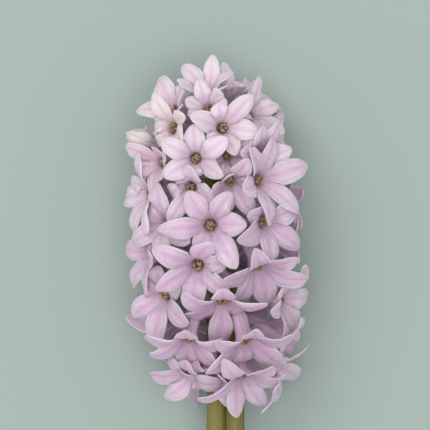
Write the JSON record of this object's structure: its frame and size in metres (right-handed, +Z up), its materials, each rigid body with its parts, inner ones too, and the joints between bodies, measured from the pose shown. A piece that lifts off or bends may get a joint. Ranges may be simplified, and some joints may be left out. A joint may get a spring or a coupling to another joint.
{
  "type": "hyacinth flower",
  "caption": "Cut hyacinth flower: two green stalks under one dense head of pale lilac bell-shaped florets with recurved petals, lying on its back.",
  "frame": {"origin": "on the surface the flower lies on, under the middle of its bounding box", "axes": "+Y runs along the stalks from the cut ends to the tip of the head, +Z is up from the surface"},
  "size_m": [0.0812, 0.2368, 0.0757],
  "materials": {
    "stalk": "satin",
    "petals": "satin",
    "bud": "satin"
  },
  "bodies": {
    "root": {"stalk_left": "stalk", "stalk_right": "stalk", "floret_01": "petals", "floret_02": "petals", "floret_03": "petals", "floret_04": "petals", "floret_05": "petals", "floret_06": "petals", "floret_07": "petals", "floret_08": "petals", "floret_09": "petals", "floret_10": "petals", "floret_11": "petals", "floret_12": "petals", "floret_13": "petals", "floret_14": "petals", "floret_15": "petals", "floret_16": "petals", "floret_17": "petals", "floret_18": "petals", "floret_19": "petals", "floret_20": "petals", "floret_21": "petals", "floret_22": "bud", "floret_23": "petals", "floret_24": "petals", "floret_25": "petals", "floret_26": "petals", "floret_27": "petals", "floret_28": "petals", "floret_29": "petals", "floret_30": "petals", "floret_31": "petals", "floret_32": "petals", "floret_33": "petals", "floret_34": "petals", "floret_35": "petals", "floret_36": "petals", "floret_37": "petals", "floret_38": "petals", "floret_39": "petals", "floret_40": "petals", "floret_41": "petals", "floret_42": "petals", "floret_43": "petals", "floret_44": "petals", "floret_45": "petals", "floret_46": "petals", "floret_47": "petals", "floret_48": "petals", "floret_49": "petals", "floret_50": "petals", "floret_51": "petals", "floret_52": "petals", "floret_53": "petals", "floret_54": "petals", "floret_55": "petals", "floret_56": "petals", "floret_57": "petals", "floret_58": "petals"}
  },
  "joints": []
}
